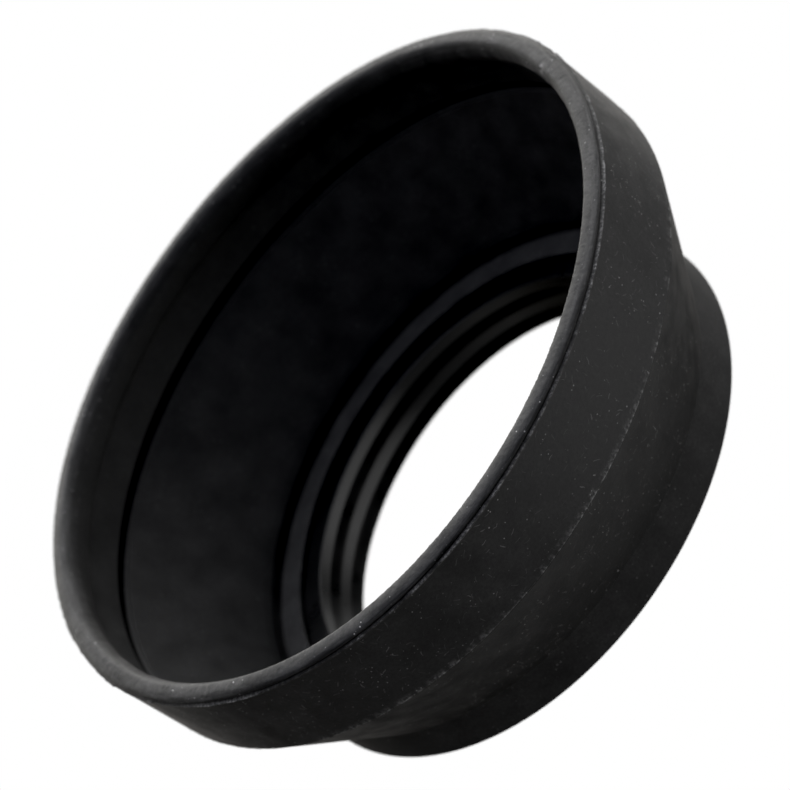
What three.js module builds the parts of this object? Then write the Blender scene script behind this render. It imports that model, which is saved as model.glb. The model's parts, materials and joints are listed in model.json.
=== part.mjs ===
// A folding rubber lens hood with a screw-in metal mount, in millimetres.
//
// The optical axis is +Z, and +Z points out of the front, away from the lens. The origin is on the axis, in the plane
// of the mount thread's rear end. Every piece is turned about the axis, so each one is a closed outline in (radius,
// height) swept round a full turn. The rubber is one moulding on the real hood. It is three pieces here, divided at
// its two living hinges, so that the front can fold back.

import * as THREE from "three";

// ---- Driving dimensions ----
const SEGMENTS = 64; // flats round a full turn
const ARC_STEPS = 4; // chords in a quarter of a rounded corner
const PIECE_GAP = 0.06; // clearance between neighbouring pieces

const RIM_RADIUS = 39.0; // at the mould's parting line, the largest radius
const RIM_HEIGHT = 32.0; // height of the parting line
const RIM_NOSE = 0.9; // how far the rounded lip stands in front of the parting line
const RIM_THICKNESS = 2.7; // the lip, measured radially
const RIM_LIP_DEPTH = 3.2; // from the parting line back to where the lip runs into the skirt's bore

const SKIRT_REAR_RADIUS = 38.8; // outside, at the front hinge line
const SKIRT_REAR_HEIGHT = 21.7;
const SKIRT_BORE = 37.25;

const HINGE_GROOVE_HEIGHT = 23.7; // middle of the V groove inside the skirt
const HINGE_GROOVE_WIDTH = 1.2;
const HINGE_GROOVE_DEPTH = 0.8;

const WEB_FRONT_THICKNESS = 1.7;
const WEB_REAR_THICKNESS = 0.7;
const WEB_TIP_TRIM = 0.1; // the web's end faces stop this far from the hinge lines

const COLLAR_TOP_RADIUS = 31.2;
const COLLAR_TOP_HEIGHT = 8.4;
const COLLAR_REAR_RADIUS = 31.3;
const COLLAR_REAR_HEIGHT = 3.5;

const LEDGE_HEIGHT = 6.8; // the flat front face of the collar's in-turned foot
const LEDGE_RADIUS = 29.9;
const LEDGE_BORE = 27.3;
const LEDGE_THICKNESS = 0.5; // the thin lip in front of the ring's front flange
const CORNER_GROOVE_RADIUS = 30.35; // the narrow groove between the ledge and the web
const CORNER_GROOVE_TOP = 1.35; // above the ledge, where the web's inner face begins
const CORNER_GROOVE_DEPTH = 0.4; // below the ledge

const FLANGE_RADIUS = 29.0; // the ring's front flange, held in the collar's channel
const FLANGE_THICKNESS = 0.8;
const RING_WAIST_RADIUS = 26.6; // where the collar's foot grips the ring

const THREAD_RADIUS = 26.0; // a 52 mm filter thread
const THREAD_PITCH = 0.75;
const THREAD_DEPTH = 0.46;
const THREAD_RIDGES = 3;
const THREAD_NECK = 0.6; // plain length between the last ridge and the seat

const SEAT_RADIUS = 28.4; // the flange that seats on the front of the lens
const SEAT_INNER_RADIUS = 26.2; // just clear of the thread's crests
const SEAT_HEIGHT = THREAD_RIDGES * THREAD_PITCH + THREAD_NECK;
const SEAT_UNDERCUT = 0.2; // depth of the relief between the neck and the seat

const FRONT_BORE = 24.6;
const FRONT_BORE_END = 4.78; // height where the front bore starts to narrow
const THROAT_HEIGHT = 3.5;
const THROAT_FRONT_RADIUS = 24.05;
const THROAT_REAR_RADIUS = 23.95;
const THROAT_END = 2.1;
const RELIEF_RADIUS = 24.7; // the undercut behind the throat
const RELIEF_HEIGHT = 1.6;
const REAR_BORE = 24.0; // at the thread's rear end

// ---- Materials ----
const rubber = new THREE.MeshStandardMaterial({ color: 0x1b1b1c, roughness: 0.78, metalness: 0 });
const anodised = new THREE.MeshStandardMaterial({ color: 0x121214, roughness: 0.35, metalness: 0.9 });

// ---- Outlines ----
// An outline is a list of Vector2(radius, height), walked so that the material is on its left.
const point = (radius, height) => new THREE.Vector2(radius, height);

// A quarter of an ellipse about a centre, from one angle to another, in degrees.
function ellipseArc(centre, halfWidth, halfHeight, fromDegrees, toDegrees) {
  const points = [];
  for (let i = 0; i <= ARC_STEPS; i++) {
    const angle = THREE.MathUtils.degToRad(fromDegrees + ((toDegrees - fromDegrees) * i) / ARC_STEPS);
    points.push(point(centre.x + halfWidth * Math.cos(angle), centre.y + halfHeight * Math.sin(angle)));
  }
  return points;
}

// Turns an outline about the optical axis into a closed solid.
function turned(name, outline, material) {
  const geometry = new THREE.LatheGeometry([...outline, outline[0]], SEGMENTS);
  geometry.rotateX(Math.PI / 2);
  const mesh = new THREE.Mesh(geometry, material);
  mesh.name = name;
  return mesh;
}

// The web's outer line runs between the two hinge lines, and its thickness is measured square to that line.
const webFront = point(SKIRT_REAR_RADIUS, SKIRT_REAR_HEIGHT);
const webRear = point(COLLAR_TOP_RADIUS, COLLAR_TOP_HEIGHT);
const webAlong = webFront.clone().sub(webRear).normalize();
const webInward = point(-webAlong.y, webAlong.x);

// A point on one of the web's hinge lines, some depth into the wall and some way along the web.
const webPoint = (end, depth, along) =>
  end.clone().addScaledVector(webInward, depth).addScaledVector(webAlong, along);

// ---- Pieces ----
// The rim and skirt: the lip at the front, and the hinge groove inside at the rear.
function frontSkirt() {
  const lipCentre = point(RIM_RADIUS - RIM_THICKNESS / 2, RIM_HEIGHT);
  const nose = ellipseArc(lipCentre, RIM_THICKNESS / 2, RIM_NOSE, 0, 90);
  nose.push(...ellipseArc(lipCentre, RIM_THICKNESS / 2, RIM_NOSE, 90, 180).slice(1));
  return turned(
    "front_skirt",
    [
      webFront,
      ...nose,
      point(SKIRT_BORE, RIM_HEIGHT - RIM_LIP_DEPTH),
      point(SKIRT_BORE, HINGE_GROOVE_HEIGHT + HINGE_GROOVE_WIDTH / 2),
      point(SKIRT_BORE + HINGE_GROOVE_DEPTH, HINGE_GROOVE_HEIGHT),
      point(SKIRT_BORE, HINGE_GROOVE_HEIGHT - HINGE_GROOVE_WIDTH / 2),
      webPoint(webFront, WEB_FRONT_THICKNESS, 0),
    ],
    rubber,
  );
}

// The web: a plain cone between the hinge lines, thicker at the front.
function foldWeb() {
  return turned(
    "fold_web",
    [
      webPoint(webRear, 0, WEB_TIP_TRIM),
      webPoint(webFront, 0, -WEB_TIP_TRIM),
      webPoint(webFront, WEB_FRONT_THICKNESS, -WEB_TIP_TRIM),
      webPoint(webRear, WEB_REAR_THICKNESS, WEB_TIP_TRIM),
    ],
    rubber,
  );
}

// The collar: the ledge inside, and the foot whose channel holds the mount ring's front flange.
function baseCollar() {
  const channelFront = LEDGE_HEIGHT - LEDGE_THICKNESS;
  const channelRear = channelFront - FLANGE_THICKNESS - 2 * PIECE_GAP;
  const channelRadius = FLANGE_RADIUS + PIECE_GAP;
  const gripRadius = RING_WAIST_RADIUS + PIECE_GAP;
  return turned(
    "base_collar",
    [
      webRear,
      webPoint(webRear, WEB_REAR_THICKNESS, 0),
      point(CORNER_GROOVE_RADIUS, LEDGE_HEIGHT + CORNER_GROOVE_TOP),
      point(CORNER_GROOVE_RADIUS, LEDGE_HEIGHT - CORNER_GROOVE_DEPTH),
      point(LEDGE_RADIUS, LEDGE_HEIGHT - CORNER_GROOVE_DEPTH),
      point(LEDGE_RADIUS, LEDGE_HEIGHT),
      point(LEDGE_BORE, LEDGE_HEIGHT),
      point(LEDGE_BORE, channelFront),
      point(channelRadius, channelFront),
      point(channelRadius, channelRear),
      point(gripRadius, channelRear),
      point(gripRadius, COLLAR_REAR_HEIGHT),
      point(COLLAR_REAR_RADIUS, COLLAR_REAR_HEIGHT),
    ],
    rubber,
  );
}

// The thread: level ridges of the thread's pitch and depth, then the neck, up into the seat's undercut.
function threadOutline() {
  const root = THREAD_RADIUS - THREAD_DEPTH;
  const crestFlat = THREAD_PITCH / 8;
  const points = [point(root, 0)];
  for (let ridge = 0; ridge < THREAD_RIDGES; ridge++) {
    const middle = (ridge + 0.5) * THREAD_PITCH;
    points.push(point(THREAD_RADIUS, middle - crestFlat / 2));
    points.push(point(THREAD_RADIUS, middle + crestFlat / 2));
    points.push(point(root, middle + THREAD_PITCH / 2));
  }
  points.push(point(root, SEAT_HEIGHT + SEAT_UNDERCUT));
  return points;
}

// The mount ring: thread, seat, waist and front flange outside, and inside the front bore, throat and relief.
function mountRing() {
  const flangeFront = LEDGE_HEIGHT - LEDGE_THICKNESS - PIECE_GAP;
  const flangeRear = flangeFront - FLANGE_THICKNESS;
  const seatTop = COLLAR_REAR_HEIGHT - PIECE_GAP;
  return turned(
    "mount_ring",
    [
      point(REAR_BORE, 0),
      ...threadOutline(),
      point(SEAT_INNER_RADIUS, SEAT_HEIGHT + SEAT_UNDERCUT),
      point(SEAT_INNER_RADIUS, SEAT_HEIGHT),
      point(SEAT_RADIUS, SEAT_HEIGHT),
      point(SEAT_RADIUS, seatTop),
      point(RING_WAIST_RADIUS, seatTop),
      point(RING_WAIST_RADIUS, flangeRear),
      point(FLANGE_RADIUS, flangeRear),
      point(FLANGE_RADIUS, flangeFront),
      point(FRONT_BORE, flangeFront),
      point(FRONT_BORE, FRONT_BORE_END),
      point(THROAT_FRONT_RADIUS, THROAT_HEIGHT),
      point(THROAT_REAR_RADIUS, THROAT_END),
      point(RELIEF_RADIUS, RELIEF_HEIGHT),
    ],
    anodised,
  );
}

// ---- The hood ----
const hood = new THREE.Group();
hood.add(frontSkirt(), foldWeb(), baseCollar(), mountRing());

export default hood;
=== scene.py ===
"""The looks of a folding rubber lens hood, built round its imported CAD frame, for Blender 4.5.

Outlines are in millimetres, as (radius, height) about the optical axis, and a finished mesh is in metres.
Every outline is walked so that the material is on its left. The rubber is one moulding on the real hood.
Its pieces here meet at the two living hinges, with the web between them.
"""

import json
import math

import bpy
import numpy as np
from mathutils import Matrix, Vector


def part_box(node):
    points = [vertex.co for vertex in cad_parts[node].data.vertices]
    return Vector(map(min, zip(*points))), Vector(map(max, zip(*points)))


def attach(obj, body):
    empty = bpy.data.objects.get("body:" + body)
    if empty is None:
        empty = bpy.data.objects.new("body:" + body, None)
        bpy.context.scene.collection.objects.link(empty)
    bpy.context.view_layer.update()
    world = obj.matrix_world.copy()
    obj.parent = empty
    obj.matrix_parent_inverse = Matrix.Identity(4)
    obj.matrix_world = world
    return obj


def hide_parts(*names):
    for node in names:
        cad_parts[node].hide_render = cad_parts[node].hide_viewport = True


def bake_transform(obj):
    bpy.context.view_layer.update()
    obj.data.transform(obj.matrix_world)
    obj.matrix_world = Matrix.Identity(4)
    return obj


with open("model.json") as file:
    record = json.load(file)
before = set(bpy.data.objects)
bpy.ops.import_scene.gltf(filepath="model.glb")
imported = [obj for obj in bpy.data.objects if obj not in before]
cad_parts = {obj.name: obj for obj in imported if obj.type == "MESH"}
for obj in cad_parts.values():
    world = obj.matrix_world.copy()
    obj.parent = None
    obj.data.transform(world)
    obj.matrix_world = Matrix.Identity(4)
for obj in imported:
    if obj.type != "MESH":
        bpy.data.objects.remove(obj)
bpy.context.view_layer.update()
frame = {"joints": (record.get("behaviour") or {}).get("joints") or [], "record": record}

MM = 0.001
TURN = 2 * math.pi


# ---- Sizes read from the frame ----
def reach(node):
    """A CAD node's largest radius, lowest height and highest height."""
    low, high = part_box(node)
    return high.x / MM, low.z / MM, high.z / MM


RIM_RADIUS, SKIRT_REAR, FRONT = reach("front_skirt")
COLLAR_RADIUS, COLLAR_REAR, _ = reach("base_collar")
FLANGE_RADIUS, RING_REAR, FLANGE_FRONT = reach("mount_ring")
JOINTS = {joint["name"]: joint for joint in frame["joints"]}
COLLAR_HINGE = JOINTS["web_turn"]["deforming_nodes"][0]["fixed_end_z_m"] / MM
SEAT_HEIGHT = frame["record"]["mounts"][0]["pos_m"][2] / MM

# ---- Sizes of the skirt, in millimetres ----
RIM_NOSE = 0.9
PARTING = FRONT - RIM_NOSE  # height of the mould's parting line
FLASH_ROWS = (-0.3, -0.2, -0.12, -0.06, 0.0, 0.05)  # the flash line's points, above the parting line
BEAD_GROOVE_RADIUS = RIM_RADIUS - 0.22  # the fine groove between the bead and the mould's flash line
BEAD_GROOVE_DEPTH = 0.1
BEAD_GROOVE_RISE = 0.13  # from the parting line
BEAD_SHOULDER_RISE = 0.26  # from the parting line to where the bead starts to round over
BEAD_CREST_RADIUS = 37.3
BEAD_STEPS = 9
BEAD_OUTER_POWER = 0.95  # 1 is a plain ellipse, and less is fuller at the shoulder
BEAD_INNER_POWER = 1.1
LIP_RADIUS = 36.3
LIP_HEIGHT = PARTING - 0.85
LIP_DRAFT = 0.04  # the lip widens this much over its length
LIP_LENGTH = 0.45
LIP_FOOT_RADIUS = 36.98
LIP_FOOT_HEIGHT = PARTING - 3.15
LIP_STEP = 0.2  # the first part of the small step from the lip's foot out to the bore
LIP_STEP_FALL = 0.03
LIP_STEP_DROP = 0.12
SKIRT_BORE = 37.25
SKIRT_REAR_RADIUS = 38.8
SKIRT_FLARE = 0.05  # the wall's slope beside the rear flash line
REAR_FLASH_ROWS = (0.0, 0.08, 0.2)  # heights of the rear flash line's points, from the rear corner
REAR_FLASH_RISE = 0.08  # the height of its crest, from the rear corner
GROOVE_HEIGHT = 23.7
GROOVE_WIDTH = 1.2
GROOVE_DEPTH = 0.8
GROOVE_FLOOR_TOP = 0.2  # above the groove's height
GROOVE_FLOOR_BOTTOM = 0.45  # below the groove's height
EDGE_FILLET = 0.08
GROOVE_FILLET = 0.15
CONE_TOP = (37.3, 22.8)

# The soft skirt stands a little out of round.
# Each line is (lobes round the hood, size in millimetres, angle of a crest in degrees).
OUT_OF_ROUND = (
    (2, 0.44, 2),
    (3, 0.35, 9),
)

# ---- Sizes of the web ----
WEB_FOOT = 9.0  # the rubber is truly round below this
WEB_FRONT_THICKNESS = 1.7
WEB_REAR_THICKNESS = 0.7
SHOULDER_FILLET = 0.25
TURNING_DEPTH = 0.012  # of the fine turned lines on the web's inner face
TURNING_FADE = 0.8  # how far from each end the lines reach their full depth

# ---- Sizes of the collar ----
COLLAR_TOP_RADIUS = 31.2
LEDGE_HEIGHT = 6.8
LEDGE_RADIUS = 29.9
LEDGE_BORE = 27.3
CORNER_RADIUS = 30.35
CORNER_TOP = 8.15
CORNER_FLOOR = 6.4
CORNER_FILLET = 0.25
LEDGE_FILLET = 0.12
LEDGE_BORE_FILLET = 0.16
CHANNEL_FILLET = 0.06
CHANNEL_GAP = 0.06
FOOT_BORE_FILLET = 0.1
FOOT_FILLET = 0.14
FLANGE_THICKNESS = 0.8
WAIST_RADIUS = 26.6

# ---- Sizes of the mount ring ----
FRONT_BORE = 24.6
FRONT_BORE_END = 4.78
FRONT_BORE_FILLET = 0.06
THROAT_HEIGHT = 3.5
THROAT_FRONT_RADIUS = 24.05
THROAT_FRONT_FILLET = 0.8
THROAT_REAR_RADIUS = 23.95
THROAT_REAR_FILLET = 0.25
THROAT_END = 2.1
RELIEF_RADIUS = 24.7
RELIEF_HEIGHT = 1.6
RELIEF_FILLET = 0.1
REAR_BORE = 24.0
FLANGE_FILLET = 0.14
SEAT_RADIUS = 28.4
SEAT_INNER_RADIUS = 26.2
SEAT_UNDERCUT = 0.2
SEAT_FILLET = 0.12
THREAD_RADIUS = 26.0
THREAD_PITCH = 0.75
THREAD_DEPTH = 0.46
THREAD_SLOPE = 1.15  # 1 is a plain V, and more leaves flats at the root and the crest
THREAD_ROOT_FLAT = 0.05  # both of these are shares of the thread's depth
THREAD_CREST = 0.95
THREAD_LEAD_IN = 0.45
THREAD_RUN_OUT = 0.25
THREAD_NECK = 0.3  # the plain length between the run-out and the seat

# ---- Marks on the rubber ----
FLASH_WIDTH = 0.11
FLASH_HEIGHT = 0.16
REAR_FLASH_HEIGHT = 0.035
BEAD_SWAY = 0.03
SWAY_RISE = 3  # the sway grows to its full size over this height above the lip's foot
BEAD_START = PARTING + 0.2  # the bead's grain fades in from here
BEAD_FADE = 0.3
BEAD_GRAIN = 0.02
LIP_PITS = 0.02
LIP_PITS_WIDTH = 0.35
NICK_ANGLE = math.radians(354)
NICK_SPREAD = 0.012  # radians
NICK_RADIUS = BEAD_CREST_RADIUS - 0.4
NICK_LENGTH = 0.4
NICK_DEPTH = 0.15

# ---- Where the inner rubber is ----
INNER_SKIRT_RADIUS = SKIRT_BORE + GROOVE_DEPTH + 0.3
# the collar's corner above its ledge takes the inner rubber, painted darker than the collar's own as shade
# in the corner
INNER_COLLAR_RADIUS = COLLAR_TOP_RADIUS - 0.2
INNER_COLLAR_HEIGHT = LEDGE_HEIGHT + 0.02

# ---- Mesh fineness ----
SKIRT_SEGMENTS = 1200
SKIRT_STEP = 0.6
SEGMENTS = 720
WEB_STEP = 0.235
COLLAR_STEP = 0.3
RING_STEP = 0.6
THREAD_ROWS = 38
FILLET_TURN = math.radians(15)
SHARP_ANGLE = math.radians(50)


# ---- Outlines ----
def unit(vector):
    return vector / np.linalg.norm(vector)


def fillet(before, here, after, radius):
    """The arc that rounds the corner at here."""
    to_before = unit(before - here)
    to_after = unit(after - here)
    half = math.acos(float(np.clip(to_before @ to_after, -1, 1))) / 2
    start = here + to_before * radius / math.tan(half)
    end = here + to_after * radius / math.tan(half)
    centre = here + unit(to_before + to_after) * radius / math.sin(half)
    first = math.atan2(*(start - centre)[::-1])
    turn = math.remainder(math.atan2(*(end - centre)[::-1]) - first, TURN)
    steps = max(2, math.ceil(abs(turn) / FILLET_TURN))
    angles = first + turn * np.linspace(0, 1, steps + 1)
    return list(centre + radius * np.stack([np.cos(angles), np.sin(angles)], 1))


def outline(corners, step, closed=True):
    """A line through corners, which are (radius, height) or, to be rounded, (radius, height, fillet).

    Extra points are added so that no span is much longer than step.
    """
    points = [np.array(corner[:2], float) for corner in corners]
    rounded = []
    for i, corner in enumerate(corners):
        if len(corner) == 3:
            rounded += fillet(points[i - 1], points[i], points[(i + 1) % len(points)], corner[2])
        else:
            rounded.append(points[i])
    if closed:
        rounded.append(rounded[0])
    line = [rounded[0]]
    for start, end in zip(rounded, rounded[1:]):
        spans = max(1, round(float(np.linalg.norm(end - start)) / step))
        line += [start + (end - start) * k / spans for k in range(1, spans + 1)]
    return np.array(line[:-1] if closed else line)


def bead_quarter(centre, half_width, half_height, first, power):
    """Points of a quarter of the bead, from an angle in degrees. A power below 1 squares its shoulder."""
    angles = np.radians(np.linspace(first, first + 90, BEAD_STEPS + 1))
    across = np.sign(np.cos(angles)) * np.abs(np.cos(angles)) ** power
    up = np.abs(np.sin(angles)) ** power
    return list(zip(centre[0] + half_width * across, centre[1] + half_height * up))


# ---- Meshes ----
def out_of_round(height, angle):
    """How far the rubber stands out, from nothing at the web's foot to all of it at the skirt."""
    share = np.clip((height - WEB_FOOT) / (GROOVE_HEIGHT - WEB_FOOT), 0, 1)
    waves = [size * np.cos(lobes * (angle - math.radians(crest))) for lobes, size, crest in OUT_OF_ROUND]
    return share * sum(waves)


def swept_faces(rows, segments, closed):
    """The four corners of each face between the rows of a turned outline."""
    i, j = np.meshgrid(np.arange(rows if closed else rows - 1), np.arange(segments), indexing="ij")
    here = i * segments
    above = (i + 1) % rows * segments
    next_j = (j + 1) % segments
    return np.stack([here + j, here + next_j, above + next_j, above + j], 2).reshape(-1, 4)


def keep(mesh, name, kind, field, values):
    """Keeps a value for each of a mesh's points, for its material to read."""
    layer = mesh.attributes.new(name, kind, "POINT")
    layer.data.foreach_set(field, values.astype(np.float32).ravel())


def turned(name, line, segments, closed=True, shape=None):
    """Turns an outline round the axis. shape moves the points and gives their wear, from 0 to 1."""
    angles = np.arange(segments) * TURN / segments
    radius, angle = np.meshgrid(line[:, 0], angles, indexing="ij")
    height = np.repeat(line[:, 1:], segments, 1)
    wear = np.zeros_like(radius)
    if shape:
        radius, height, wear = shape(radius, height, angle)
    places = np.stack([radius * np.cos(angle), radius * np.sin(angle), height], 2).reshape(-1, 3)
    mesh = bpy.data.meshes.new(name)
    mesh.from_pydata((places * MM).tolist(), [], swept_faces(len(line), segments, closed).tolist())
    mesh.shade_smooth()
    keep(mesh, "rest_mm", "FLOAT_VECTOR", "vector", places)
    keep(mesh, "wear", "FLOAT", "value", wear)
    made = bpy.data.objects.new(name, mesh)
    bpy.context.scene.collection.objects.link(made)
    return made


def paint(piece, *materials):
    for material in materials:
        piece.data.materials.append(material)


def line_bore(piece, radius, lowest, highest):
    """Gives a piece's second material to the faces inside a radius and between two heights.

    The radius is measured as if the rubber were truly round.
    """
    faces = piece.data.polygons
    centres = np.empty(len(faces) * 3, np.float32)
    faces.foreach_get("center", centres)
    x, y, z = centres.reshape(-1, 3).T / MM
    reached = np.hypot(x, y) - out_of_round(z, np.arctan2(y, x))
    inside = (reached < radius) & (z > lowest) & (z < highest)
    faces.foreach_set("material_index", inside.astype(np.int32))


# ---- The skirt: rim bead, flash line, outer wall, bore and hinge groove ----
WEB_ALONG = unit(np.array([SKIRT_REAR_RADIUS - COLLAR_TOP_RADIUS, SKIRT_REAR - COLLAR_HINGE]))
WEB_INWARD = np.array([-WEB_ALONG[1], WEB_ALONG[0]])


def bead():
    """The rounded bead, from its outer shoulder over the crest to the lip."""
    shoulder_height = PARTING + BEAD_SHOULDER_RISE
    outer = bead_quarter((BEAD_CREST_RADIUS, shoulder_height), BEAD_GROOVE_RADIUS - BEAD_CREST_RADIUS,
                         FRONT - shoulder_height, 0, BEAD_OUTER_POWER)
    inner = bead_quarter((BEAD_CREST_RADIUS, LIP_HEIGHT), BEAD_CREST_RADIUS - LIP_RADIUS,
                         FRONT - LIP_HEIGHT, 90, BEAD_INNER_POWER)
    return outer + inner[1:]


def skirt_outline():
    rear = np.array([SKIRT_REAR_RADIUS, SKIRT_REAR])
    groove_floor = SKIRT_BORE + GROOVE_DEPTH
    return outline(
        [
            *[(SKIRT_REAR_RADIUS + SKIRT_FLARE * rise, SKIRT_REAR + rise) for rise in REAR_FLASH_ROWS],
            *[(RIM_RADIUS, PARTING + rise) for rise in FLASH_ROWS],
            (BEAD_GROOVE_RADIUS - BEAD_GROOVE_DEPTH, PARTING + BEAD_GROOVE_RISE),
            *bead(),
            (LIP_RADIUS + LIP_DRAFT, LIP_HEIGHT - LIP_LENGTH),
            (LIP_FOOT_RADIUS, LIP_FOOT_HEIGHT),
            (LIP_FOOT_RADIUS + LIP_STEP, LIP_FOOT_HEIGHT - LIP_STEP_FALL),
            (SKIRT_BORE, LIP_FOOT_HEIGHT - LIP_STEP_DROP),
            (SKIRT_BORE, GROOVE_HEIGHT + GROOVE_WIDTH / 2, EDGE_FILLET),
            (groove_floor, GROOVE_HEIGHT + GROOVE_FLOOR_TOP, GROOVE_FILLET),
            (groove_floor, GROOVE_HEIGHT - GROOVE_FLOOR_BOTTOM, GROOVE_FILLET),
            (*CONE_TOP, EDGE_FILLET),
            tuple(rear + WEB_INWARD * WEB_FRONT_THICKNESS),
        ],
        SKIRT_STEP,
    )


def wavering(seed, grain):
    """A random line round the skirt, of unit spread, whose bumps are about grain millimetres long."""
    noise = np.random.default_rng(seed).standard_normal(SKIRT_SEGMENTS)
    waves = np.fft.rfftfreq(SKIRT_SEGMENTS, 1 / SKIRT_SEGMENTS)
    kept = np.exp(-((2 * waves * grain / (TURN * RIM_RADIUS)) ** 2))
    kept[0] = 0
    line = np.fft.irfft(np.fft.rfft(noise) * kept, SKIRT_SEGMENTS)
    return line / line.std()


def hump(value, middle, width):
    """A smooth hump of height 1 about a middle."""
    return np.exp(-(((value - middle) / width) ** 2))


def rim_flash(radius, height):
    """The flash line at the rim: its share of the full height, and how tall that is round the hood."""
    share = hump(height, PARTING, FLASH_WIDTH) * (radius > BEAD_GROOVE_RADIUS + BEAD_GROOVE_DEPTH)
    ragged = 0.6 * wavering(11, grain=0.5) + 0.5 * wavering(12, grain=6)
    return share, 0.55 + 0.45 * np.clip(ragged, -1, 1.3)


def rear_flash(radius, height):
    """The fainter flash line at the rear corner, in the same way."""
    outside = radius > SKIRT_REAR_RADIUS - 0.1
    share = hump(height, SKIRT_REAR + REAR_FLASH_RISE, FLASH_WIDTH) * outside
    ragged = 0.7 * wavering(13, grain=0.4) + 0.4 * wavering(17, grain=9)
    return share, np.clip(0.4 + ragged, 0, 1.6)


def skirt_shape(radius, height, angle):
    """Raises both ragged flash lines, waves and pits the rim a little, and makes the nick in the bead."""
    at_rim, tall = rim_flash(radius, height)
    at_rear, faint = rear_flash(radius, height)
    lift = at_rim * FLASH_HEIGHT * tall + at_rear * REAR_FLASH_HEIGHT * faint
    sway = BEAD_SWAY * wavering(14, grain=22) * np.clip((height - LIP_FOOT_HEIGHT) / SWAY_RISE, 0, 1)
    pits = LIP_PITS * wavering(15, grain=0.9) * hump(radius, LIP_RADIUS, LIP_PITS_WIDTH)
    on_bead = np.clip((height - BEAD_START) / BEAD_FADE, 0, 1) * (radius > LIP_RADIUS - 0.05)
    grain = BEAD_GRAIN * on_bead * np.random.default_rng(16).standard_normal(radius.shape)
    nick = hump(angle, NICK_ANGLE, NICK_SPREAD) * hump(radius, NICK_RADIUS, NICK_LENGTH) * on_bead
    wear = np.clip(at_rim * tall + at_rear * faint + nick, 0, 1)
    radius = radius + lift + pits + out_of_round(height, angle)
    return radius, height + sway + grain - NICK_DEPTH * nick, wear


def front_skirt(outside, inside):
    piece = turned("front_skirt_moulding", skirt_outline(), SKIRT_SEGMENTS, shape=skirt_shape)
    paint(piece, outside, inside)
    line_bore(piece, INNER_SKIRT_RADIUS, SKIRT_REAR, LIP_HEIGHT)
    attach(piece, "skirt")
    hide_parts("front_skirt")
    return piece


# ---- The web: one outer skin, thickened inwards, with fine turned lines on its inner face ----
def shoulder():
    """The soft inside corner where the cone runs into the collar, from the collar up to the cone."""
    corner = np.array([COLLAR_TOP_RADIUS, COLLAR_HINGE])
    below = np.array([COLLAR_RADIUS, COLLAR_REAR])
    return fillet(below, corner, corner + WEB_ALONG, SHOULDER_FILLET)


def web_outline():
    bend = shoulder()
    upper = bend[len(bend) // 2:]
    return outline([tuple(p) for p in upper] + [(SKIRT_REAR_RADIUS, SKIRT_REAR)], WEB_STEP, closed=False)


def web_thickness(share):
    """The web's thickness, at a share of the way from the collar to the skirt."""
    return WEB_REAR_THICKNESS + (WEB_FRONT_THICKNESS - WEB_REAR_THICKNESS) * share


def turned_thickness(line):
    """The web's thickness at each point of its line, less the fine turned lines."""
    along = (line - line[0]) @ WEB_ALONG
    away_from_ends = np.clip(np.minimum(along, along[-1] - along) / TURNING_FADE, 0, 1)
    ripple = np.abs(np.random.default_rng(31).standard_normal(len(line))).clip(0, 2)
    return web_thickness(along / along[-1]) - TURNING_DEPTH * away_from_ends * ripple


def thicken(piece, thickness):
    """Makes the skin solid, inwards, with a thickness for each row of its points."""
    group = piece.vertex_groups.new(name="thickness")
    for row, value in enumerate(thickness / WEB_FRONT_THICKNESS):
        group.add(range(row * SEGMENTS, (row + 1) * SEGMENTS), float(min(value, 1)), "REPLACE")
    skin = piece.modifiers.new("thickness", "SOLIDIFY")
    skin.thickness = WEB_FRONT_THICKNESS * MM
    skin.offset = -1
    skin.vertex_group = group.name
    skin.material_offset = 1


def web_shape(radius, height, angle):
    return radius + out_of_round(height, angle), height, np.zeros_like(radius)


def fold_web(outside, inside):
    line = web_outline()
    piece = turned("fold_web_moulding", line, SEGMENTS, closed=False, shape=web_shape)
    paint(piece, outside, inside)
    thicken(piece, turned_thickness(line))
    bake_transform(piece)
    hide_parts("fold_web")
    return piece


# ---- The collar: outer wall, ledge, and the channel that grips the ring ----
def collar_outline():
    bend = shoulder()
    lower = bend[: len(bend) // 2 + 1]
    web_end = web_outline()[:2]
    along = unit(web_end[1] - web_end[0])
    inner_end = web_end[0] + np.array([-along[1], along[0]]) * web_thickness(0)
    channel_front = FLANGE_FRONT + CHANNEL_GAP
    channel_rear = FLANGE_FRONT - FLANGE_THICKNESS - CHANNEL_GAP
    channel_radius = FLANGE_RADIUS + CHANNEL_GAP
    return outline(
        [
            tuple(lower[-1]),
            tuple(inner_end),
            (CORNER_RADIUS, CORNER_TOP, CORNER_FILLET),
            (CORNER_RADIUS, CORNER_FLOOR, LEDGE_FILLET),
            (LEDGE_RADIUS, CORNER_FLOOR, LEDGE_FILLET),
            (LEDGE_RADIUS, LEDGE_HEIGHT, LEDGE_FILLET),
            (LEDGE_BORE, LEDGE_HEIGHT, LEDGE_BORE_FILLET),
            (LEDGE_BORE, channel_front, CHANNEL_FILLET),
            (channel_radius, channel_front),
            (channel_radius, channel_rear),
            (WAIST_RADIUS + CHANNEL_GAP, channel_rear),
            (WAIST_RADIUS + CHANNEL_GAP, COLLAR_REAR, FOOT_BORE_FILLET),
            (COLLAR_RADIUS, COLLAR_REAR, FOOT_FILLET),
            *[tuple(p) for p in lower[:-1]],
        ],
        COLLAR_STEP,
    )


def base_collar(outside, inside):
    """The collar, with the inner rubber between its ledge and the web, painted darker there as shade in
    that corner.
    """
    piece = turned("base_collar_moulding", collar_outline(), SEGMENTS)
    paint(piece, outside, inside)
    line_bore(piece, INNER_COLLAR_RADIUS, INNER_COLLAR_HEIGHT, FRONT)
    piece.data.set_sharp_from_angle(angle=SHARP_ANGLE)
    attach(piece, "base")
    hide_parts("base_collar")
    return piece


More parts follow.
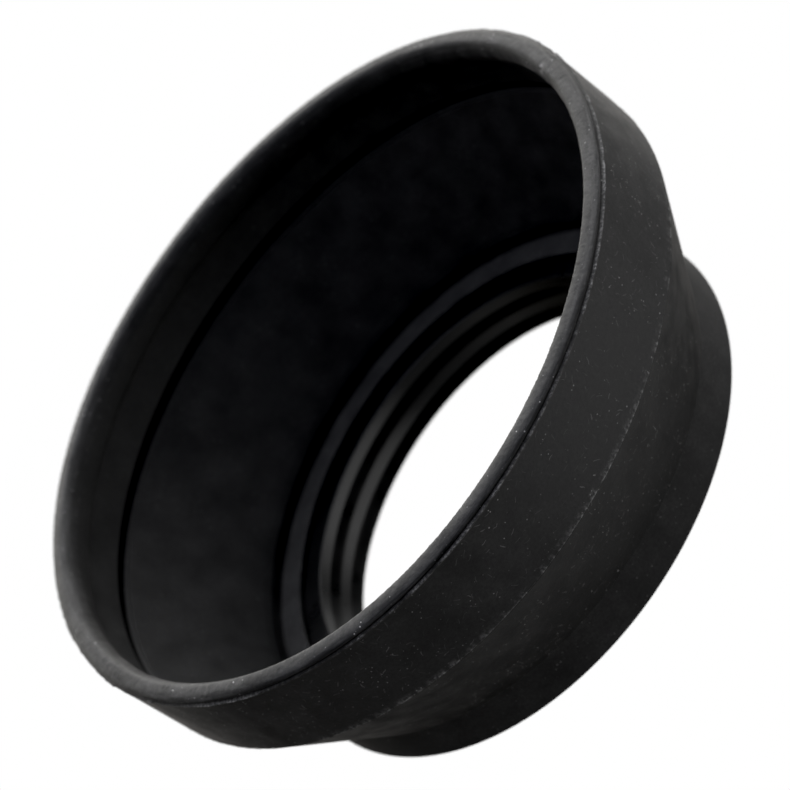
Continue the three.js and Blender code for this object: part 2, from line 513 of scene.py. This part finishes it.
# ---- The mount ring: flange, seat and screw thread outside, stepped bore inside ----
THREAD_ROOT = THREAD_RADIUS - THREAD_DEPTH


def ring_outline():
    flange_rear = FLANGE_FRONT - FLANGE_THICKNESS
    seat_top = COLLAR_REAR - CHANNEL_GAP
    return outline(
        [
            (REAR_BORE, RING_REAR, EDGE_FILLET),
            *[(THREAD_ROOT, height) for height in np.linspace(RING_REAR, SEAT_HEIGHT, THREAD_ROWS)],
            (THREAD_ROOT, SEAT_HEIGHT + SEAT_UNDERCUT),
            (SEAT_INNER_RADIUS, SEAT_HEIGHT + SEAT_UNDERCUT),
            (SEAT_INNER_RADIUS, SEAT_HEIGHT),
            (SEAT_RADIUS, SEAT_HEIGHT, SEAT_FILLET),
            (SEAT_RADIUS, seat_top, EDGE_FILLET),
            (WAIST_RADIUS, seat_top),
            (WAIST_RADIUS, flange_rear),
            (FLANGE_RADIUS, flange_rear),
            (FLANGE_RADIUS, FLANGE_FRONT),
            (FRONT_BORE, FLANGE_FRONT, FLANGE_FILLET),
            (FRONT_BORE, FRONT_BORE_END, FRONT_BORE_FILLET),
            (THROAT_FRONT_RADIUS, THROAT_HEIGHT, THROAT_FRONT_FILLET),
            (THROAT_REAR_RADIUS, THROAT_END, THROAT_REAR_FILLET),
            (RELIEF_RADIUS, RELIEF_HEIGHT, RELIEF_FILLET),
        ],
        RING_STEP,
    )


def ring_shape(radius, height, angle):
    """Raises the right-handed screw thread, with a lead-in at the ring's end and a run-out at the neck."""
    on_thread = (np.abs(radius - THREAD_ROOT) < 1e-6) & (height < SEAT_HEIGHT)
    place = (height / THREAD_PITCH - angle / TURN) % 1
    ridge = THREAD_SLOPE * (1 - np.abs(2 * place - 1)) - THREAD_ROOT_FLAT
    lead_in = (height - RING_REAR) / THREAD_LEAD_IN
    run_out = (SEAT_HEIGHT - THREAD_NECK - height) / THREAD_RUN_OUT
    ends = np.clip(np.minimum(lead_in, run_out), 0, 1)
    lift = THREAD_DEPTH * np.minimum(np.clip(ridge, 0, THREAD_CREST), ends)
    return radius + np.where(on_thread, lift, 0), height, np.zeros_like(radius)


def mount_ring(material):
    piece = turned("mount_ring_turning", ring_outline(), SEGMENTS, shape=ring_shape)
    paint(piece, material)
    piece.data.set_sharp_from_angle(angle=SHARP_ANGLE)
    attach(piece, "base")
    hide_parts("mount_ring")
    return piece


# ---- Materials ----
class Shader:
    """The nodes of a material or a world, added one by one."""

    def __init__(self, owner):
        owner.use_nodes = True
        self.owner = owner
        self.tree = owner.node_tree
        self.tree.nodes.clear()

    def add(self, kind, inputs=None, **settings):
        """Adds a node and fills its inputs, by name or number, with values or other nodes' sockets."""
        node = self.tree.nodes.new("ShaderNode" + kind)
        for name, value in settings.items():
            setattr(node, name, value)
        for name, value in (inputs or {}).items():
            if isinstance(value, bpy.types.NodeSocket):
                self.tree.links.new(value, node.inputs[name])
            else:
                node.inputs[name].default_value = value
        return node

    def maths(self, operation, first, second=0.0, clamp=False):
        return self.add("Math", {0: first, 1: second}, operation=operation, use_clamp=clamp).outputs[0]

    def vector_maths(self, operation, *values):
        node = self.add("VectorMath", dict(enumerate(values)), operation=operation)
        return node.outputs["Value" if operation == "DOT_PRODUCT" else "Vector"]

    def vector(self, x=0.0, y=0.0, z=0.0):
        return self.add("CombineXYZ", {"X": x, "Y": y, "Z": z}).outputs[0]

    def remap(self, value, low, high, to_low=0.0, to_high=1.0, smooth=False):
        kind = "SMOOTHSTEP" if smooth else "LINEAR"
        inputs = {"Value": value, "From Min": low, "From Max": high, "To Min": to_low, "To Max": to_high}
        return self.add("MapRange", inputs, interpolation_type=kind).outputs["Result"]

    def place(self):
        """Where a point is when the hood isn't folded, in millimetres, whole and as its three parts."""
        place = self.add("Attribute", attribute_name="rest_mm").outputs["Vector"]
        apart = self.add("SeparateXYZ", {"Vector": place}).outputs
        return place, apart["X"], apart["Y"], apart["Z"]

    def noise(self, place, size, detail=3.0, rough=0.55):
        """A noise texture's value, with features of about size millimetres."""
        inputs = {"Vector": place, "Scale": 1 / size, "Detail": detail, "Roughness": rough}
        return self.add("TexNoise", inputs).outputs["Fac"]

    def specks(self, place, spacing, share, radius):
        """Soft dots up to radius in size, one to a cell of spacing, in share of the cells."""
        cell = self.add("TexVoronoi", {"Vector": place, "Scale": 1 / spacing})
        chance = self.add("SeparateColor", {"Color": cell.outputs["Color"]}).outputs["Red"]
        size = self.remap(chance, 1 - share, 1, 0, radius / spacing)
        inner = self.maths("MULTIPLY", size, 0.45)
        return self.remap(cell.outputs["Distance"], inner, size, 1.0, 0.0)

    def bump(self, height, strength, distance, below=None):
        """A bumpy normal, distance in millimetres, over another one if that is given."""
        inputs = {"Strength": strength, "Distance": distance * MM, "Height": height}
        if below:
            inputs["Normal"] = below
        return self.add("Bump", inputs).outputs[0]

    def grey(self, value, tint):
        """A colour from a brightness and a tint."""
        inputs = {
            channel: self.maths("MULTIPLY", value, share)
            for channel, share in zip(("Red", "Green", "Blue"), tint)
        }
        return self.add("CombineColor", inputs).outputs["Color"]

    def surface(self, inputs):
        shader = self.add("BsdfPrincipled", inputs)
        self.add("OutputMaterial", {"Surface": shader.outputs[0]})
        return self.owner


NOISE_LOW = 0.3  # nearly all of a noise's values are between these two
NOISE_HIGH = 0.7
RUBBER_TINT = (1.0, 0.985, 0.975)
RUBBER_DARK = 0.012
RUBBER_LIGHT = 0.033
DUST_BRIGHTNESS = 0.38
FLASH_BRIGHTNESS = 0.3
SHEEN_TINT = (1.0, 0.97, 0.93, 1.0)
# the middle of the painted shade in the hinge groove
PAINTED_GROOVE_SHADE_HEIGHT = GROOVE_HEIGHT - 0.13
HAIR_BEND_SCALE = 0.9
HAIR_BEND = (0.8, 0.8, 0.0)
METAL_DARK = 0.001
METAL_LIGHT = 0.002
METAL_TINT = (0.98, 0.98, 1.05)


def hairs(shader, x, y, z, spacing, share, length, width):
    """Short fine hairs on an outer wall, one to a cell, in share of the cells.

    Each is turned its own way, a little bent, and more or less bold.
    """
    around = shader.maths("MULTIPLY", shader.maths("ARCTAN2", y, x), RIM_RADIUS)
    wall = shader.vector(around, z)
    bend = shader.add("TexNoise", {"Vector": wall, "Scale": HAIR_BEND_SCALE}).outputs["Color"]
    wall = shader.vector_maths("MULTIPLY_ADD", bend, HAIR_BEND, wall)
    cell = shader.add("TexVoronoi", {"Vector": wall, "Scale": 1 / spacing}, voronoi_dimensions="2D")
    chance = shader.add("SeparateColor", {"Color": cell.outputs["Color"]}).outputs
    turn = shader.maths("MULTIPLY", chance["Red"], TURN)
    cosine = shader.maths("COSINE", turn)
    sine = shader.maths("SINE", turn)
    offset = shader.vector_maths("SUBTRACT", wall, cell.outputs["Position"])
    along = shader.vector_maths("DOT_PRODUCT", offset, shader.vector(cosine, sine))
    sideways = shader.vector(sine, shader.maths("MULTIPLY", cosine, -1.0))
    across = shader.vector_maths("DOT_PRODUCT", offset, sideways)
    near = shader.remap(shader.maths("ABSOLUTE", across), width / 4, width, 1.0, 0.0)
    short = shader.remap(shader.maths("ABSOLUTE", along), length * 0.35, length / 2, 1.0, 0.0)
    bold = shader.remap(chance["Green"], 1 - share, 1.0)
    return shader.maths("MULTIPLY", shader.maths("MULTIPLY", near, short), bold)


def pale_marks(shader, dust, hair):
    """Fine and coarse dust, and hairs below the bead, in patches."""
    place, x, y, z = shader.place()
    fine = shader.specks(place, spacing=0.45, share=0.5, radius=0.11)
    coarse = shader.specks(place, spacing=1.6, share=0.25, radius=0.15)
    dots = shader.maths("MULTIPLY", shader.maths("MAXIMUM", fine, coarse), dust)
    below_bead = shader.remap(z, PARTING - 0.6, PARTING - 0.3, hair, 0.0)
    lines = hairs(shader, x, y, z, spacing=1.0, share=0.5, length=0.75, width=0.05)
    marks = shader.maths("MAXIMUM", dots, shader.maths("MULTIPLY", lines, below_bead))
    patch = shader.remap(shader.noise(place, 5.0), 0.42, 0.6, 0.25, 1.0, smooth=True)
    return shader.maths("MULTIPLY", marks, patch)


def worn_flash(shader, place):
    """The wear on the flash lines, broken into dots."""
    wear = shader.add("Attribute", attribute_name="wear").outputs["Fac"]
    dotted = shader.remap(shader.noise(place, 0.3), 0.42, 0.62, 0.1, 1.0)
    return shader.maths("MULTIPLY", wear, dotted)


def moulding_streaks(shader, x, y, z, bends=7.0, apart=0.22):
    """Noise in streaks round the axis: bends in a radian, and apart millimetres from one to the next."""
    outward = shader.vector_maths("NORMALIZE", shader.vector(x, y))
    around = shader.vector_maths("MULTIPLY", outward, (bends, bends, bends))
    rise = shader.vector(z=shader.maths("DIVIDE", z, apart))
    return shader.noise(shader.vector_maths("ADD", around, rise), 1.0, rough=0.6)


def painted_shade_by_height(shader, z, rear, groove):
    """Painted shade and light: the rubber's brightness from the collar up to the skirt, and painted shade
    in the hinge groove.
    """
    painted_shade = shader.remap(z, COLLAR_HINGE, SKIRT_REAR, rear, 1.0)
    from_groove = shader.maths("ABSOLUTE", shader.maths("SUBTRACT", z, PAINTED_GROOVE_SHADE_HEIGHT))
    return shader.maths("MULTIPLY", painted_shade, shader.remap(from_groove, 0.5, 0.7, groove, 1.0))


def rubber(name, dust, hair, roughness, streaks, sheen, rear, groove=1.0):
    """Black rubber: mottled, finely grained, with pale dust, fine hairs, moulding streaks and worn flash,
    under painted shade.

    rear is its brightness at the collar, a painted shade (above 1, painted light) where the skirt's is 1,
    and groove is its share of that in the hinge groove, a painted shade for that recess.
    """
    shader = Shader(bpy.data.materials.new(name))
    place, x, y, z = shader.place()
    mottle = shader.noise(place, 3.5, detail=4)
    fine = shader.noise(place, 0.35, detail=4, rough=0.7)
    haze = shader.remap(shader.noise(place, 2.5, detail=5, rough=0.6), 0.35, 0.65, 0.4, 1.6)
    # painted shade: brightness changed towards the collar and darkened in the hinge groove
    painted_shade = painted_shade_by_height(shader, z, rear, groove)
    marks = pale_marks(shader, dust, hair)
    streak = moulding_streaks(shader, x, y, z)
    on_bead = shader.remap(z, PARTING, PARTING + 0.3)

    base = shader.remap(mottle, NOISE_LOW, NOISE_HIGH, RUBBER_DARK, RUBBER_LIGHT)
    base = shader.maths("MULTIPLY", base, shader.remap(fine, NOISE_LOW, NOISE_HIGH, 0.7, 1.3))
    base = shader.maths("MULTIPLY", base, painted_shade)
    base = shader.maths("ADD", base, shader.maths("MULTIPLY", marks, DUST_BRIGHTNESS))
    flash = shader.maths("MULTIPLY", worn_flash(shader, place), FLASH_BRIGHTNESS)
    base = shader.maths("ADD", base, flash)
    scuffs = shader.maths("MULTIPLY", shader.remap(streak, 0.4, 0.6, -0.6, 1.0), on_bead)
    base = shader.maths("MULTIPLY", base, shader.maths("ADD", scuffs, 1.0))

    rough = shader.remap(mottle, NOISE_LOW, NOISE_HIGH, roughness - 0.05, roughness + 0.05)
    rough = shader.maths("ADD", rough, shader.maths("MULTIPLY", marks, 0.2), clamp=True)
    lines = shader.bump(streak, streaks, 0.03)
    grain = shader.bump(fine, shader.remap(on_bead, 0.0, 1.0, 0.5, 1.0), 0.04, lines)
    return shader.surface({
        "Base Color": shader.grey(base, RUBBER_TINT),
        "Roughness": rough,
        # the painted shade also dims the specular highlights and the sheen
        "Specular IOR Level": shader.maths("MULTIPLY", painted_shade, 0.5),
        "Sheen Weight": shader.maths("MULTIPLY", shader.maths("MULTIPLY", haze, painted_shade), sheen),
        "Sheen Roughness": 0.35,
        "Sheen Tint": SHEEN_TINT,
        "Normal": shader.bump(mottle, 0.5, 0.12, grain),
    })


def anodised_metal():
    """Satin black anodising over fine turning marks."""
    shader = Shader(bpy.data.materials.new("anodised_metal"))
    place, x, y, z = shader.place()
    squares = shader.maths("ADD", shader.maths("MULTIPLY", x, x), shader.maths("MULTIPLY", y, y))
    turning = shader.noise(shader.vector(x=shader.maths("SQRT", squares), z=z), 0.09, rough=0.7)
    cloud = shader.noise(place, 2.5)
    base = shader.remap(cloud, NOISE_LOW, NOISE_HIGH, METAL_DARK, METAL_LIGHT)
    return shader.surface({
        "Base Color": shader.grey(base, METAL_TINT),
        "Roughness": shader.remap(cloud, NOISE_LOW, NOISE_HIGH, 0.26, 0.34),
        "Specular IOR Level": 0.6,
        "Normal": shader.bump(turning, 0.4, 0.008),
    })


def light_table():
    """The light table's plain white glow."""
    shader = Shader(bpy.data.materials.new("light_table"))
    glow = shader.add("Emission", {"Color": (1, 1, 1, 1), "Strength": 1.0})
    shader.add("OutputMaterial", {"Surface": glow.outputs[0]})
    return shader.owner


# ---- Studio ----
CAMERA_LENS = 187.9
CAMERA_SENSOR = 36.0
CAMERA_STOP = 52.0  # the rim's near side is sharp, and the mount ring a little soft
CAMERA_DISTANCE = 422.7  # along the view, to the plane of the parting line's centre
CAMERA_ELEVATION = math.radians(33.54)
CAMERA_ROLL = math.radians(55.25)
AIM_RIGHT = 7.83
AIM_DOWN = 3.41
RIM_CENTRE = Vector((0, 0, PARTING)) * MM
VIEW = Vector((0, math.cos(CAMERA_ELEVATION), -math.sin(CAMERA_ELEVATION)))

BLACK_LEVEL = 0.004
FLOOR_DROP = 0.45
FLOOR_SIZE = 30.0

# The backdrop's lights, each with the direction it comes from, its spread in degrees, strength and tint.
WHITE = (1.0, 1.0, 1.0)
WARM = (1.03, 1.0, 0.93)
COOL = (0.95, 0.98, 1.12)
LIGHTS = (
    ((0, 1, 0), 55, 1.6, WARM),
    ((0, 0, 1), 55, 0.82, COOL),
    ((1, 1, 1), 50, 1.76, WHITE),
    ((1, -1, -1), 50, 0.95, WHITE),
    ((-1, -1, -1), 50, 0.18, WHITE),
    ((1, 0.5, 0.2), 30, 1.0, WHITE),
    ((0.9, 0.4, -0.3), 30, 0.18, WHITE),
    ((0, 1, 0.5), 35, 1.3, WHITE),
    ((-1, 0, 0), 55, 0.13, WARM),
    ((0.5, 0.85, 0), 25, 0.9, WARM),
    ((0.6, 0.6, -0.4), 25, 0.44, WHITE),
    ((0, 0, -1), 30, 0.14, WHITE),
    ((1, -0.3, -0.2), 30, 0.16, WHITE),
)


def camera():
    """Looks down into the hood along +Y, rolled so that the optical axis leans to the upper left."""
    level = Vector((1, 0, 0))
    upright = level.cross(VIEW)
    up = upright * math.cos(CAMERA_ROLL) + level * math.sin(CAMERA_ROLL)
    right = level * math.cos(CAMERA_ROLL) - upright * math.sin(CAMERA_ROLL)
    aim = RIM_CENTRE + (right * AIM_RIGHT - up * AIM_DOWN) * MM
    near_rim = bpy.data.objects.new("near_rim", None)
    near_rim.location = Vector((0, -RIM_RADIUS, PARTING)) * MM
    bpy.context.scene.collection.objects.link(near_rim)
    data = bpy.data.cameras.new("photo_camera")
    data.lens = CAMERA_LENS
    data.sensor_width = CAMERA_SENSOR
    data.clip_start = 0.01
    data.clip_end = 100
    data.dof.use_dof = True
    data.dof.focus_object = near_rim
    data.dof.aperture_fstop = CAMERA_STOP
    made = bpy.data.objects.new("photo_camera", data)
    turn = Matrix((right, up, -VIEW)).transposed().to_4x4()
    made.matrix_world = Matrix.Translation(aim - VIEW * CAMERA_DISTANCE * MM) @ turn
    bpy.context.scene.collection.objects.link(made)
    bpy.context.scene.camera = made


def floor():
    """A wide light table that the camera sees, and that neither lights the hood nor shades it."""
    mesh = bpy.data.meshes.new("floor")
    half = FLOOR_SIZE / 2
    corners = [(-half, -half, 0), (half, -half, 0), (half, half, 0), (-half, half, 0)]
    mesh.from_pydata(corners, [], [(0, 1, 2, 3)])
    mesh.materials.append(light_table())
    made = bpy.data.objects.new("floor", mesh)
    made.location.z = -FLOOR_DROP
    made.visible_diffuse = False
    made.visible_glossy = False
    made.visible_shadow = False
    bpy.context.scene.collection.objects.link(made)


def studio_air():
    """A backdrop that lights the hood more from some directions, and looks white to the camera."""
    world = bpy.data.worlds.new("studio_air")
    bpy.context.scene.world = world
    shader = Shader(world)
    direction = shader.add("TexCoord").outputs["Generated"]
    total = (0.0, 0.0, 0.0)
    for towards, spread, strength, tint in LIGHTS:
        facing = shader.vector_maths("DOT_PRODUCT", direction, Vector(towards).normalized())
        glow = shader.remap(facing, math.cos(math.radians(spread)), 1.0, 0.0, strength, smooth=True)
        total = shader.vector_maths("MULTIPLY_ADD", glow, tint, total)
    seen = shader.add("LightPath").outputs["Is Camera Ray"]
    unseen = shader.maths("SUBTRACT", 1.0, seen)
    light = shader.add("Background", {"Color": shader.vector_maths("MULTIPLY_ADD", total, unseen, seen)})
    shader.add("OutputWorld", {"Surface": light.outputs[0]})


def deep_blacks():
    """Shows the rubber's shadows as fully black."""
    view = bpy.context.scene.view_settings
    view.view_transform = "Standard"
    view.use_curve_mapping = True
    view.curve_mapping.black_level = (BLACK_LEVEL, BLACK_LEVEL, BLACK_LEVEL)
    view.curve_mapping.update()


# ---- Everything together ----
# rear and groove paint shade and light: the outer and inner rubber painted darker towards the collar, the
# inner rubber painted much darker in the hinge groove, and the collar's rubber painted lighter
outer_rubber = rubber(
    "rubber_outside", dust=1.0, hair=0.45, roughness=0.6, streaks=0.1, sheen=0.12, rear=0.5
)
inner_rubber = rubber(
    "rubber_inside", dust=0.25, hair=0.0, roughness=0.68, streaks=0.6, sheen=0.02, rear=0.75, groove=0.15
)
foot_rubber = rubber(
    "rubber_collar", dust=0.4, hair=0.0, roughness=0.9, streaks=0.1, sheen=0.015, rear=1.25
)
front_skirt(outer_rubber, inner_rubber)
fold_web(outer_rubber, inner_rubber)
base_collar(foot_rubber, inner_rubber)
mount_ring(anodised_metal())
floor()
studio_air()
camera()
deep_blacks()
